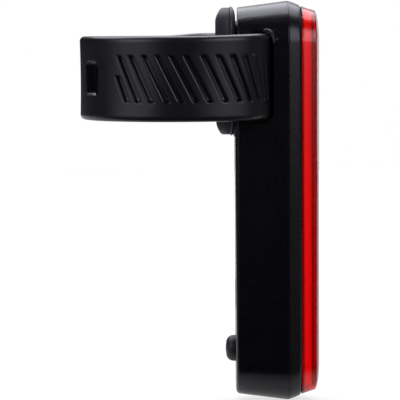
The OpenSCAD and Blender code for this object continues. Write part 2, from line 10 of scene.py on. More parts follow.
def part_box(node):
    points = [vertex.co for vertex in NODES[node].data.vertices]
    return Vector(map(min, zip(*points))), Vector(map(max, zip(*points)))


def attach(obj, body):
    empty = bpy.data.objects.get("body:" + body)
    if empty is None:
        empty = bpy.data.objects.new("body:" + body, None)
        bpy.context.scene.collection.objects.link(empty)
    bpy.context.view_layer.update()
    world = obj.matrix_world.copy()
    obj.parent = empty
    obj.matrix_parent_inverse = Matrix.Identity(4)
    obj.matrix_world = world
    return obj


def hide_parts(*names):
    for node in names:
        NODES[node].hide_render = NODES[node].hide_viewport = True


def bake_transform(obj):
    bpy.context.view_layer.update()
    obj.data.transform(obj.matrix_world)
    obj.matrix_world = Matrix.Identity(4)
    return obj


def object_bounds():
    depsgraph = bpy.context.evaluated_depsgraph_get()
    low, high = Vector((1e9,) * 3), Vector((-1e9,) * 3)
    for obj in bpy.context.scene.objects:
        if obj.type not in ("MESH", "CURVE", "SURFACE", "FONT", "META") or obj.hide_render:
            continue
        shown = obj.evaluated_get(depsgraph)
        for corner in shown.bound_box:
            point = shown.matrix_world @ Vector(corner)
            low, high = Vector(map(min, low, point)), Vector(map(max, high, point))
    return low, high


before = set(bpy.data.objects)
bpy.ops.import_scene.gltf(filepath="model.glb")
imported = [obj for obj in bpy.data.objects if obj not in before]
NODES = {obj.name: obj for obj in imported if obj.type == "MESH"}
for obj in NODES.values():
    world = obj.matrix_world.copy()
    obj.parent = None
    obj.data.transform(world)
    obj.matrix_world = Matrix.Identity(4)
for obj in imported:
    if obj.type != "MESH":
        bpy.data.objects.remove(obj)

CAD_BOX = [list(corner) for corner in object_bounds()]
MM = 0.001

bl_info = {
    "name": "Rear light looks",
    "version": (1, 0, 0),
    "blender": (4, 5, 0),
    "location": "View3D > Sidebar > Rear light",
    "description": "Builds the case, lens, strap and small parts of a bicycle rear light",
    "category": "Object",
}


def node_box(node):
    """Lowest and highest corner of a CAD node, in millimetres."""
    low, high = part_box(node)
    return low / MM, high / MM


BAND_LOW, BAND_HIGH = node_box("strap_band")
LENS_LOW, LENS_HIGH = node_box("lens")
SHELL_HIGH = node_box("rear_shell")[1]
BEZEL_LOW, BEZEL_HIGH = node_box("front_bezel")


def number(name, description, default, **limits):
    """A number property."""
    return bpy.props.FloatProperty(name=name, description=description, default=default, **limits)


def length(name, description, default_mm):
    """A length property whose default is given in millimetres."""
    return number(name, description, default_mm * MM, unit="LENGTH", precision=5)


def colour(name, description, default):
    """A colour property."""
    return bpy.props.FloatVectorProperty(
        name=name, description=description, default=default, size=3, min=0.0, max=1.0, subtype="COLOR"
    )


def factor(name, description, default):
    """A share from nothing to everything."""
    return number(name, description, default, min=0.0, max=1.0, subtype="FACTOR")


def level(name, description, default):
    """A level from nothing upwards."""
    return number(name, description, default, min=0.0)


class RearLightCase(bpy.types.PropertyGroup):
    """Finish of the two halves of the case."""

    shell: colour("Rear shell", "Colour of the rear shell", (0.0013, 0.0012, 0.0020))
    bezel: colour("Bezel", "Colour of the front bezel", (0.0042, 0.0041, 0.0054))
    grain: length("Grain", "Size of the moulded grain", 0.28)
    shell_rough: factor("Shell roughness", "Roughness of the rear shell", 0.28)
    bezel_rough: factor("Bezel roughness", "Roughness of the bezel", 0.28)
    plate: colour("Plate", "Colour of the pad's plate", (0.025, 0.0248, 0.029))
    set_back: length("Bezel set-back", "How far the bezel's front is set back for the lens", 0.45)
    lip: length("Pocket lip", "Half the width of the raised lip at the strap's pocket", 0.3)


class RearLightLens(bpy.types.PropertyGroup):
    """Clear red lens and what lies behind it."""

    tint: colour("Tint", "Colour that the plastic lets through", (0.96, 0.0, 0.0))
    density: level("Density", "Absorption of the plastic, per metre", 1800.0)
    gloss: factor("Roughness", "Roughness of the polished faces", 0.22)
    gap: length("Gap", "Open line between the bezel and the lens", 0.08)
    side: length("Side", "Depth of the lens's straight side", 3.1)
    lean: length("Lean", "How far the side leans in", 1.0)
    plate: length("Front", "Thickness of the lens's front", 2.3)
    wall: length("Wall", "Thickness of the lens's side", 1.75)
    mirror: colour("Reflector", "Colour of the reflector tray", (0.86, 0.86, 0.85))


class RearLightStrap(bpy.types.PropertyGroup):
    """Rubber strap with its slots and grip grooves."""

    colour: colour("Rubber", "Colour of the strap", (0.0046, 0.0045, 0.0057))
    thickness: length("Thickness", "Thickness of the strap", 2.5)
    height: length("Height", "Height of the strap", BAND_HIGH.z - BAND_LOW.z)
    flare: length("Tail flare", "Extra height of the tail on each side", 0.6)
    dish: length("Dish", "How far the outer face is hollow", 0.12)
    groove_width: length("Groove width", "Width of a grip groove", 2.1)
    groove_depth: length("Groove depth", "Depth of a grip groove", 0.95)
    groove_half: length("Groove reach", "Half the height of the grooved zone", 5.6)
    slot_length: length("Slot length", "Length of a slot along the strap", 5.6)
    slot_height: length("Slot height", "Height of a slot", 7.8)


class RearLightRubber(bpy.types.PropertyGroup):
    """Small rubber parts."""

    pad: colour("Pad", "Colour of the post pad", (0.0185, 0.0183, 0.0215))
    button: colour("Button", "Colour of the button and the port cover", (0.0075, 0.0075, 0.0088))
    soft_edge: length("Soft edge", "Rounding of the pad's edges", 0.45)


class RearLightStage(bpy.types.PropertyGroup):
    """Studio round the light."""

    floor: colour("Floor", "Colour of the floor", (0.9, 0.9, 0.9))
    room: level("Room level", "Level of the dim room beyond the lamps", 0.018)
    side: level("Side boxes", "Level of the two side soft boxes", 2.5)
    top: level("Top box", "Level of the overhead soft box", 4.7)
    fill: level("Fill", "Level of the dim panel at the lens's side", 0.07)
    rim: level("Rim", "Level of the soft box behind the lens's side", 1.6)
    focal: number("Focal length", "Focal length of the camera, in millimetres", 168.75)


# ---------------------------------------------------------------- shader groups and materials


def link(tree, source, socket):
    """Joins an output to an input."""
    tree.links.new(source, socket)


def add_node(tree, kind, inputs=(), **settings):
    """A node with its settings, and inputs that take a value or a link from an output."""
    node = tree.nodes.new(kind)
    for label, value in settings.items():
        setattr(node, label, value)
    for key, value in dict(inputs).items():
        if isinstance(value, bpy.types.NodeSocket):
            link(tree, value, node.inputs[key])
        else:
            node.inputs[key].default_value = value
    return node


def group_tree(name, inputs, outputs):
    """An empty shader group with named sockets: inputs are (name, type, default), outputs (name, type)."""
    tree = bpy.data.node_groups.new(name, "ShaderNodeTree")
    for label, kind, default in inputs:
        socket = tree.interface.new_socket(label, in_out="INPUT", socket_type=kind)
        socket.default_value = default
    for label, kind in outputs:
        tree.interface.new_socket(label, in_out="OUTPUT", socket_type=kind)
    return tree, tree.nodes.new("NodeGroupInput"), tree.nodes.new("NodeGroupOutput")


def math_node(tree, operation, a, b, clamp=False):
    """The result of an operation on two values or outputs."""
    node = add_node(tree, "ShaderNodeMath", {0: a, 1: b}, operation=operation, use_clamp=clamp)
    return node.outputs[0]


def noise(tree, vector, scale, detail, rough=0.5):
    """A cloudy value."""
    inputs = {"Vector": vector, "Scale": scale, "Detail": detail, "Roughness": rough}
    return add_node(tree, "ShaderNodeTexNoise", inputs).outputs["Fac"]


def rise(tree, value, start, end):
    """A value's way from a start to an end, as a share."""
    inputs = {"Value": value, "From Min": start, "From Max": end}
    return add_node(tree, "ShaderNodeMapRange", inputs).outputs[0]


def mixed(tree, share, first, second):
    """A mix of two shaders."""
    return add_node(tree, "ShaderNodeMixShader", {0: share, 1: first, 2: second}).outputs[0]


def object_place(tree):
    """Object coordinates."""
    return tree.nodes.new("ShaderNodeTexCoord").outputs["Object"]


def split(tree, vector):
    """The three parts of a vector."""
    return add_node(tree, "ShaderNodeSeparateXYZ", {0: vector}).outputs


def grain_group():
    """Fine moulded grain: a height for bump, and a roughness that drifts over the surface."""
    tree, given, out = group_tree(
        "Moulded grain",
        [
            ("Vector", "NodeSocketVector", (0, 0, 0)),
            ("Scale", "NodeSocketFloat", 3500.0),
            ("Roughness", "NodeSocketFloat", 0.4),
            ("Drift", "NodeSocketFloat", 0.1),
        ],
        [("Height", "NodeSocketFloat"), ("Roughness", "NodeSocketFloat")],
    )
    vector = given.outputs["Vector"]
    fine = noise(tree, vector, given.outputs["Scale"], 3.0, 0.6)
    coarse = math_node(tree, "MULTIPLY", given.outputs["Scale"], 0.6)
    cells = add_node(tree, "ShaderNodeTexVoronoi", {"Vector": vector, "Scale": coarse}, feature="SMOOTH_F1")
    height = math_node(
        tree, "ADD", math_node(tree, "MULTIPLY", fine, 0.6),
        math_node(tree, "MULTIPLY", cells.outputs["Distance"], 0.4),
    )
    link(tree, height, out.inputs["Height"])
    cloud = noise(tree, vector, 110.0, 4.0)
    drift = math_node(tree, "MULTIPLY", math_node(tree, "SUBTRACT", cloud, 0.5), given.outputs["Drift"])
    speck = math_node(tree, "MULTIPLY", math_node(tree, "SUBTRACT", fine, 0.5), given.outputs["Drift"])
    change = math_node(tree, "ADD", drift, speck)
    total = math_node(tree, "ADD", given.outputs["Roughness"], change, clamp=True)
    link(tree, total, out.inputs["Roughness"])
    return tree


def dust_group():
    """Thin settled dust and handling marks: paler where a face looks up and in small smudges."""
    tree, given, out = group_tree(
        "Settled dust",
        [
            ("Vector", "NodeSocketVector", (0, 0, 0)),
            ("Colour", "NodeSocketColor", (0.01, 0.01, 0.01, 1)),
            ("Dust", "NodeSocketColor", (0.2, 0.2, 0.2, 1)),
            ("Amount", "NodeSocketFloat", 0.02),
        ],
        [("Colour", "NodeSocketColor")],
    )
    vector = given.outputs["Vector"]
    smudge = rise(tree, noise(tree, vector, 160.0, 5.0, 0.62), 0.5, 0.78)
    speck = rise(tree, noise(tree, vector, 2600.0, 2.0), 0.66, 0.8)
    normal = tree.nodes.new("ShaderNodeNewGeometry").outputs["Normal"]
    half_up = math_node(tree, "MULTIPLY", split(tree, normal)["Z"], 0.5)
    up = math_node(tree, "ADD", half_up, 0.5, clamp=True)
    marks = math_node(tree, "ADD", smudge, math_node(tree, "MULTIPLY", speck, up))
    mask = math_node(tree, "MULTIPLY", marks, given.outputs["Amount"], clamp=True)
    ends = {0: mask, 6: given.outputs["Colour"], 7: given.outputs["Dust"]}
    mix = add_node(tree, "ShaderNodeMix", ends, data_type="RGBA")
    link(tree, mix.outputs[2], out.inputs["Colour"])
    return tree


GROUPS = {}


def shared_group(name):
    """A shader group, built the first time that a material asks for it."""
    if name not in GROUPS:
        GROUPS[name] = {"grain": grain_group, "dust": dust_group}[name]()
    return GROUPS[name]


def base_material(name, tint, **sockets):
    """A material with its Principled shader, whose fixed values are set on its own sockets."""
    material = bpy.data.materials.new(name)
    material.use_nodes = True
    shader = material.node_tree.nodes["Principled BSDF"]
    shader.inputs["Base Color"].default_value = (*tint, 1.0)
    for label, value in sockets.items():
        shader.inputs[label.replace("_", " ").title().replace("Ior", "IOR")].default_value = value
    material.diffuse_color = (*tint, 1.0)
    return material, material.node_tree, shader


def add_group(tree, kind, vector, **values):
    """A shared group in a material's tree."""
    return add_node(tree, "ShaderNodeGroup", {"Vector": vector, **values}, node_tree=shared_group(kind))


def add_bump(tree, shader, strength, distance, height):
    """A bump on the shader's normal."""
    inputs = {"Strength": strength, "Distance": distance, "Height": height}
    link(tree, add_node(tree, "ShaderNodeBump", inputs).outputs["Normal"], shader.inputs["Normal"])


def moulded(name, tint, rough, grain_mm, bump=0.12, drift=0.1, dust=0.02, **sockets):
    """Moulded plastic or rubber: fine grain in the bump and roughness, faint dust in the colour."""
    material, tree, shader = base_material(name, tint, **sockets)
    place = object_place(tree)
    grain = add_group(tree, "grain", place, Scale=1.0 / (grain_mm * MM), Roughness=rough, Drift=drift)
    link(tree, grain.outputs["Roughness"], shader.inputs["Roughness"])
    add_bump(tree, shader, bump, grain_mm * MM * 0.25, grain.outputs["Height"])
    film = add_group(tree, "dust", place, Colour=(*tint, 1.0), Dust=DUST_GREY, Amount=dust)
    link(tree, film.outputs["Colour"], shader.inputs["Base Color"])
    return material


def brushed(name, tint, rough):
    """Plated or drawn metal with fine lines along its length."""
    material, tree, shader = base_material(name, tint, metallic=1.0)
    drawn = {"Vector": object_place(tree), "Scale": (0.06, 1.0, 1.0)}
    along = add_node(tree, "ShaderNodeMapping", drawn).outputs["Vector"]
    grain = add_group(tree, "grain", along, Scale=9000.0, Roughness=rough, Drift=0.25)
    link(tree, grain.outputs["Roughness"], shader.inputs["Roughness"])
    return material


def lens_material(settings):
    """Clear red plastic: polished faces, and a body that takes up all but the red."""
    material, tree, shader = base_material(
        "lens_clear_red", (1.0, 1.0, 1.0), roughness=settings.gloss, transmission_weight=1.0,
        ior=1.5, specular_ior_level=0.35,
    )
    absorbed = {"Color": (*settings.tint, 1.0), "Density": settings.density}
    body = add_node(tree, "ShaderNodeVolumeAbsorption", absorbed).outputs["Volume"]
    link(tree, body, tree.nodes["Material Output"].inputs["Volume"])
    add_bump(tree, shader, 0.002, 0.2 * MM, noise(tree, object_place(tree), 240.0, 2.0))
    return material


MATERIALS = {}
COOL = (0.92, 0.92, 1.0, 1.0)
DUST_GREY = (0.16, 0.16, 0.16, 1.0)
# finishes that no setting changes: name, colour, roughness, and for plastic the grain's size in millimetres
MOULDED = {
    "seal": ("seal_grey", (0.12, 0.12, 0.125), 0.6, 0.3),
    "chip": ("chip_black", (0.012, 0.012, 0.012), 0.5, 0.25),
    "coil": ("coil_grey", (0.09, 0.085, 0.08), 0.6, 0.3),
    "tape": ("tape_tan", (0.34, 0.22, 0.12), 0.7, 0.4),
    "lead": ("lead_red", (0.5, 0.03, 0.03), 0.45, 0.4),
    "connector": ("connector_cream", (0.78, 0.75, 0.66), 0.45, 0.4),
    "plunger": ("plunger_white", (0.72, 0.7, 0.64), 0.4, 0.3),
    "stem": ("stem_red", (0.45, 0.07, 0.05), 0.4, 0.3),
}
METAL = {
    "steel": ("screw_steel", (0.56, 0.56, 0.58), 0.3),
    "port": ("port_steel", (0.66, 0.66, 0.68), 0.22),
    "foil": ("cell_foil", (0.62, 0.64, 0.67), 0.4),
}


def black(name, tint, rough, grain_mm, bump, drift, dust, **sockets):
    """Black plastic or rubber with a cool shine."""
    return moulded(name, tint, rough, grain_mm, bump, drift, dust, specular_tint=COOL, **sockets)


def make_materials(context):
    """All finishes of the light, by name."""
    case, lens = context.scene.rear_light_case, context.scene.rear_light_lens
    strap, rubber = context.scene.rear_light_strap, context.scene.rear_light_rubber
    grain, faint = case.grain / MM, 0.4
    MATERIALS.update(
        shell=black("shell_black", case.shell, case.shell_rough, grain, 0.10, 0.08, 0.006),
        bezel=black(
            "bezel_black", case.bezel, case.bezel_rough, grain, 0.06, 0.06, 0.006, specular_ior_level=faint
        ),
        plate=black("plate_black", case.plate, 0.42, grain, 0.10, 0.08, 0.01),
        lens=lens_material(lens),
        mirror=moulded("reflector_white", lens.mirror, 0.18, 0.5, bump=0.02, dust=0.0),
        strap=black("strap_rubber", strap.colour, 0.33, 0.32, 0.14, 0.12, 0.012),
        pad=black("pad_rubber", rubber.pad, 0.55, 0.3, 0.16, 0.12, 0.015),
        button=black("button_rubber", rubber.button, 0.5, 0.3, 0.14, 0.1, 0.012),
        board=moulded("board_green", (0.012, 0.10, 0.045), 0.35, 0.6, bump=0.05),
        led=moulded("led_cream", (0.9, 0.78, 0.5), 0.2, 0.4, bump=0.02, dust=0.0),
    )
    MATERIALS.update((key, moulded(*finish)) for key, finish in MOULDED.items())
    MATERIALS.update((key, brushed(*finish)) for key, finish in METAL.items())


# ---------------------------------------------------------------- mesh helpers


def new_object(name, mesh):
    """An object in the scene."""
    obj = bpy.data.objects.new(name, mesh)
    bpy.context.scene.collection.objects.link(obj)
    return obj


def merged_copy(node):
    """A copy of a CAD node's mesh with its loose triangles joined."""
    mesh = NODES[node].data.copy()
    mesh.materials.clear()
    form = bmesh.new()
    form.from_mesh(mesh)
    bmesh.ops.remove_doubles(form, verts=form.verts, dist=2e-6)
    form.to_mesh(mesh)
    form.free()
    return mesh


def shade(mesh, angle):
    """Smooth shading that keeps edges sharper than an angle."""
    mesh.shade_smooth()
    mesh.set_sharp_from_angle(angle=math.radians(angle))


def settle(obj):
    """Turns an object's evaluated mesh into its own plain mesh and clears the modifiers."""
    shape = obj.evaluated_get(bpy.context.evaluated_depsgraph_get())
    mesh = bpy.data.meshes.new_from_object(shape)
    obj.modifiers.clear()
    old, obj.data = obj.data, mesh
    mesh.name = obj.name
    bpy.data.meshes.remove(old)
    return obj


def weighted(obj):
    """Normals that follow the large faces."""
    modifier = obj.modifiers.new("normals", "WEIGHTED_NORMAL")
    modifier.keep_sharp = True
    return settle(obj)


def dress(obj, body, slot, material, *nodes):
    """Gives a finished piece its finish and its body, and hides the CAD nodes that it stands for."""
    if material is not None:
        obj.data.materials.clear()
        obj.data.materials.append(MATERIALS[material])
    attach(obj, body)
    if nodes:
        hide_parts(*nodes)
    return obj


def paint(node, material):
    """A CAD node that stays gets its finish."""
    obj = NODES[node]
    obj.data.materials.clear()
    obj.data.materials.append(MATERIALS[material])


def flat_faces_joined(mesh):
    """Joins the triangles of each flat face, so that slivers don't bend its shading."""
    form = bmesh.new()
    form.from_mesh(mesh)
    bmesh.ops.dissolve_degenerate(form, edges=form.edges, dist=1e-6)
    bmesh.ops.dissolve_limit(
        form, angle_limit=math.radians(0.6), verts=form.verts, edges=form.edges
    )
    form.to_mesh(mesh)
    form.free()
    return mesh


def rigid_copy(node, name, body, slot, material, angle=32):
    """A rigid CAD node shown through a smooth copy of itself."""
    obj = new_object(name, flat_faces_joined(merged_copy(node)))
    shade(obj.data, angle)
    weighted(obj)
    return dress(obj, body, slot, material, node)


def rounded_copy(node, name, body, slot, material, width, angle=38, segments=2):
    """A CAD node shown through a copy whose edges are rounded over."""
    mesh = flat_faces_joined(merged_copy(node))
    obj = new_object(name, mesh)
    shade(mesh, angle)
    bevel = obj.modifiers.new("edges", "BEVEL")
    bevel.width = width
    bevel.segments = segments
    bevel.limit_method = "ANGLE"
    bevel.angle_limit = math.radians(angle)
    settle(obj)
    shade(obj.data, 50)
    weighted(obj)
    return dress(obj, body, slot, material, node)


def mesh_from(name, verts_mm, faces):
    """A mesh from points in millimetres, with its doubles merged and its faces outward."""
    mesh = bpy.data.meshes.new(name)
    mesh.from_pydata([Vector(v) * MM for v in verts_mm], [], faces)
    form = bmesh.new()
    form.from_mesh(mesh)
    bmesh.ops.remove_doubles(form, verts=form.verts, dist=1e-6)
    bmesh.ops.dissolve_degenerate(form, edges=form.edges, dist=1e-7)
    bmesh.ops.recalc_face_normals(form, faces=form.faces)
    if form.calc_volume(signed=True) < 0:
        bmesh.ops.reverse_faces(form, faces=form.faces)
    form.to_mesh(mesh)
    form.free()
    return mesh


def loft_mesh(name, rings, capped=True):
    """A skin through rings of points, in millimetres, closed by flat ends."""
    count, last = len(rings[0]), len(rings) - 1
    faces = []
    for ring in range(last):
        for k in range(count):
            a, b = ring * count + k, ring * count + (k + 1) % count
            faces.append((a, b, b + count, a + count))
    if capped:
        faces += [tuple(range(count)), tuple(range(last * count, (last + 1) * count))]
    return mesh_from(name, [point for ring in rings for point in ring], faces)


def pill_mesh(name, profile, low, high, turn=48):
    """A profile of (radius, x) points drawn round a pill, in millimetres, with flat ends."""
    around = []
    for centre, start in ((high, 0.0), (low, math.pi)):
        around += [(centre, start + math.pi * step / turn) for step in range(turn + 1)]
    return loft_mesh(name, [
        [(x, radius * math.cos(a), centre + radius * math.sin(a)) for centre, a in around]
        for radius, x in profile
    ])


def round_outline(width, height, corner, inset, turn=10, along=14):
    """Points (y, z) of a rounded rectangle, set in from its edge."""
    radius = max(corner - inset, 0.2)
    a, b = width / 2 - inset - radius, height / 2 - inset - radius
    points = []
    for cy, cz, start in ((1, 1, 0), (-1, 1, 90), (-1, -1, 180), (1, -1, 270)):
        for step in range(turn + 1):
            angle = math.radians(start + 90 * step / turn)
            points.append((cy * a + radius * math.cos(angle), cz * b + radius * math.sin(angle)))
        if cy * cz > 0:
            points += [(cy * a * (1 - 2 * k / along), cz * (b + radius)) for k in range(1, along)]
    return points


def slab_mesh(name, profile, width, height, corner, centre_z):
    """A rounded slab across X, in millimetres, from (inset, x) points of its edge."""
    return loft_mesh(name, [
        [(x, y, centre_z + z) for y, z in round_outline(width, height, corner, inset)] for inset, x in profile
    ])


def bead_mesh(name, points, radii, turns=12):
    """A round bead along an open line of points that lies about in the plane across Y, in millimetres."""
    rings = []
    last = len(points) - 1
    for k, (point, radius) in enumerate(zip(points, radii)):
        along = (Vector(points[min(last, k + 1)]) - Vector(points[max(0, k - 1)])).normalized()
        side = along.cross(Vector((0.0, -1.0, 0.0))).normalized()
        out = side.cross(along)
        turn = [2 * math.pi * step / turns for step in range(turns)]
        rings.append([Vector(point) + radius * (math.cos(a) * out + math.sin(a) * side) for a in turn])
    return loft_mesh(name, rings)


def combine(obj, meshes, operation="DIFFERENCE"):
    """Cuts closed meshes out of an object, or joins them to it, and removes them."""
    tools = [new_object(f"{obj.name}_tool_{k}", mesh) for k, mesh in enumerate(meshes)]
    for tool in tools:
        modifier = obj.modifiers.new(tool.name, "BOOLEAN")
        modifier.operation = operation
        modifier.solver = "EXACT"
        modifier.object = tool
    settle(obj)
    for tool, mesh in zip(tools, meshes):
        bpy.data.objects.remove(tool)
        bpy.data.meshes.remove(mesh)
    return obj


def lathe_mesh(name, profile, centre, turns=64):
    """A profile of (radius, x) points turned round an axis along X, in millimetres."""
    around = [2 * math.pi * k / turns for k in range(turns)]
    rings = [
        [(x, centre[0] + radius * math.cos(a), centre[1] + radius * math.sin(a)) for a in around]
        for radius, x in profile
    ]
    return loft_mesh(name, rings, capped=False)


def arc(cx, cy, radius, start, end, steps):
    """Points (x, y) on an arc, angles in degrees."""
    turns = [math.radians(start + (end - start) * k / steps) for k in range(steps + 1)]
    return [(cx + radius * math.cos(a), cy + radius * math.sin(a)) for a in turns]


# ---------------------------------------------------------------- strap

POST_R = 15.8  # radius of the seat post
CROWN_ARC = 50.0  # degrees of each half that follow the post at the crown
WIDE_X = 6.0  # where the loop is widest
TURN_ARC = 30.0  # heading at which the near half turns tighter
ENTRY_ARC = 88.0  # heading at which the near half enters its pocket
SLOT_ANGLE = 34.0  # place of the crown slot, in degrees round the post
# ends of the strap: its bead in the pocket, the hook's slot and the pull tab
POCKET_X, POCKET_Y, BEAD_R = 27.55, 5.6, 2.0
HOOK_SLOT_X, TAB_X, END_RUN = 26.05, 30.25, 1.2
# grip grooves of the near side, by their distance along the outer face from the loop's widest place
GROOVES = (-15.3, -12.6, -9.48, -5.9, -2.59, 0.74, 4.07, 8.0, 11.6, 14.76, 17.6, 20.1, 22.9)
# section of a groove: distance from its middle as a share of its width, share of its depth
GROOVE_SECTION = (
    (0.08, 1.0), (0.19, 1.0), (0.205, 0.96), (0.24, 0.63), (0.278, 0.25), (0.29, 0.19),
    (0.31, 0.155), (0.34, 0.11), (0.375, 0.067), (0.41, 0.035), (0.45, 0.011), (0.5, 0.0),
)
# slant of the grooves along the near side: distance, degrees
SLANTS = ((-24.0, 0.0), (-17.0, 23.0), (-8.0, 26.0), (2.0, 28.0), (12.0, 26.0), (21.0, 18.0), (25.0, 0.0))


def ramp(x, keys):
    """A value read between keyed points."""
    if x <= keys[0][0]:
        return keys[0][1]
    for (x0, y0), (x1, y1) in zip(keys, keys[1:]):
        if x <= x1:
            return y0 + (y1 - y0) * (x - x0) / (x1 - x0)
    return keys[-1][1]


def ease(x, start, end):
    """Smooth step from 0 at start to 1 at end."""
    t = min(1.0, max(0.0, (x - start) / (end - start)))
    return t * t * (3 - 2 * t)


class StrapPath:
    """Middle line of one half of the strap, from the crown outwards, drawn on the far side (+Y).

    A place on it is a distance along the outer face, in millimetres."""

    def __init__(self, thickness, side, stretches):
        self.half, self.side = thickness / 2, side
        self.parts = []
        point, heading, start = Vector((-(POST_R + self.half), 0.0)), math.pi / 2, 0.0
        for kind, radius, amount in stretches:
            if kind == "run":
                run = amount
                part = (start, run, point.copy(), heading, 0.0, amount)
                point = point + amount * Vector((math.cos(heading), math.sin(heading)))
            else:
                sign = -1.0 if kind == "right" else 1.0
                angle = math.radians(amount)
                run = (radius - sign * self.half) * angle
                part = (start, run, point.copy(), heading, sign / radius, radius * angle)
                point = self.walk(point, heading, sign / radius, radius * angle)
                heading += sign * angle
            self.parts.append(part)
            start += run
        self.length = start

    @staticmethod
    def walk(point, heading, bend, distance):
        if abs(bend) < 1e-9:
            return point + distance * Vector((math.cos(heading), math.sin(heading)))
        turned = heading + bend * distance
        return point + Vector(
            ((math.sin(turned) - math.sin(heading)) / bend, (math.cos(heading) - math.cos(turned)) / bend)
        )

    def at(self, s):
        """Point of the middle line and outward direction."""
        part = self.parts[0]
        for candidate in self.parts:
            if s >= candidate[0]:
                part = candidate
        start, run, point, heading, bend, distance = part
        d = (s - start) / run * distance
        turned = heading + bend * d
        return self.walk(point, heading, bend, d), Vector((-math.sin(turned), math.cos(turned)))

    def spot(self, s, offset, z):
        """Point off the middle line, on this half's own side."""
        point, out = self.at(s)
        place = point + out * offset
        return place.x, self.side * place.y, z


def strap_halves(thickness):
    """The paths of the near and far half, and where the loop is widest on each."""
    half = thickness / 2
    crown_r = POST_R + thickness
    bow = 90.0 - CROWN_ARC
    reach = WIDE_X / math.sin(math.radians(bow))
    flank_r = crown_r + reach
    wide_y = flank_r - reach * math.cos(math.radians(bow))
    widest = crown_r * math.radians(CROWN_ARC) + flank_r * math.radians(bow)
    loop = [("right", crown_r - half, CROWN_ARC), ("right", flank_r - half, bow)]
    run_x, run_y = POCKET_X - WIDE_X, wide_y - POCKET_Y
    sin, cos, rad = math.sin, math.cos, math.radians
    a1, b1 = sin(rad(TURN_ARC)), sin(rad(ENTRY_ARC)) - sin(rad(TURN_ARC))
    a2, b2 = 1 - cos(rad(TURN_ARC)), cos(rad(TURN_ARC)) - cos(rad(ENTRY_ARC))
    det = a1 * b2 - b1 * a2
    turn_r = (run_x * b2 - b1 * run_y) / det
    entry_r = (a1 * run_y - a2 * run_x) / det
    near = StrapPath(thickness, -1, loop + [
        ("right", turn_r - half, TURN_ARC),
        ("right", entry_r - half, ENTRY_ARC - TURN_ARC),
        ("run", 0.0, END_RUN + BEAD_R),
    ])
    dive, dive_r, back_r, run_level = 45.0, 13.0, 6.0, 12.8
    dive_l = (wide_y - run_level - (dive_r + back_r) * (1 - cos(rad(dive)))) / sin(rad(dive))
    x_run = WIDE_X + (dive_r + back_r) * sin(rad(dive)) + dive_l * cos(rad(dive))
    far = StrapPath(thickness, 1, loop + [
        ("right", dive_r - half, dive),
        ("run", 0.0, dive_l),
        ("left", back_r + half, dive),
        ("run", 0.0, TAB_X - x_run),
        ("left", 8.0 + half, 20.0),
        ("run", 0.0, END_RUN),
    ])
    hook_slot = far.parts[5][0] + HOOK_SLOT_X - x_run
    return near, far, widest, hook_slot


def strap_columns(grooves, length_mm, step, width):
    """Places of the strap's columns: even ones, with closer ones at each groove's walls."""
    close = []
    for g in grooves:
        for share, _ in GROOVE_SECTION:
            close += [g - share * width, g + share * width]
    close = sorted(c for c in close if 0 < c < length_mm)
    columns = list(close)
    count = int(length_mm / step)
    for k in range(count + 1):
        s = length_mm * k / count
        if all(abs(s - c) > 0.3 * step for c in close):
            columns.append(s)
    return sorted(columns)


def strap_rows(zone):
    """Places across the strap's faces, from -1 at the lower edge to 1 at the upper one."""
    rows = {0.0, 1.0}
    rows.update(k / 22 for k in range(23))
    rows.update(min(1.0, zone + d) for d in (-0.09, -0.06, -0.045, -0.03, -0.015, 0.0, 0.02))
    rows.update((0.06, 0.075, 0.1, 0.115, 0.13))
    rows = sorted(rows)
    kept = [rows[0]]
    for r in rows[1:]:
        if r - kept[-1] > 0.012:
            kept.append(r)
    return [-r for r in reversed(kept[1:])] + kept


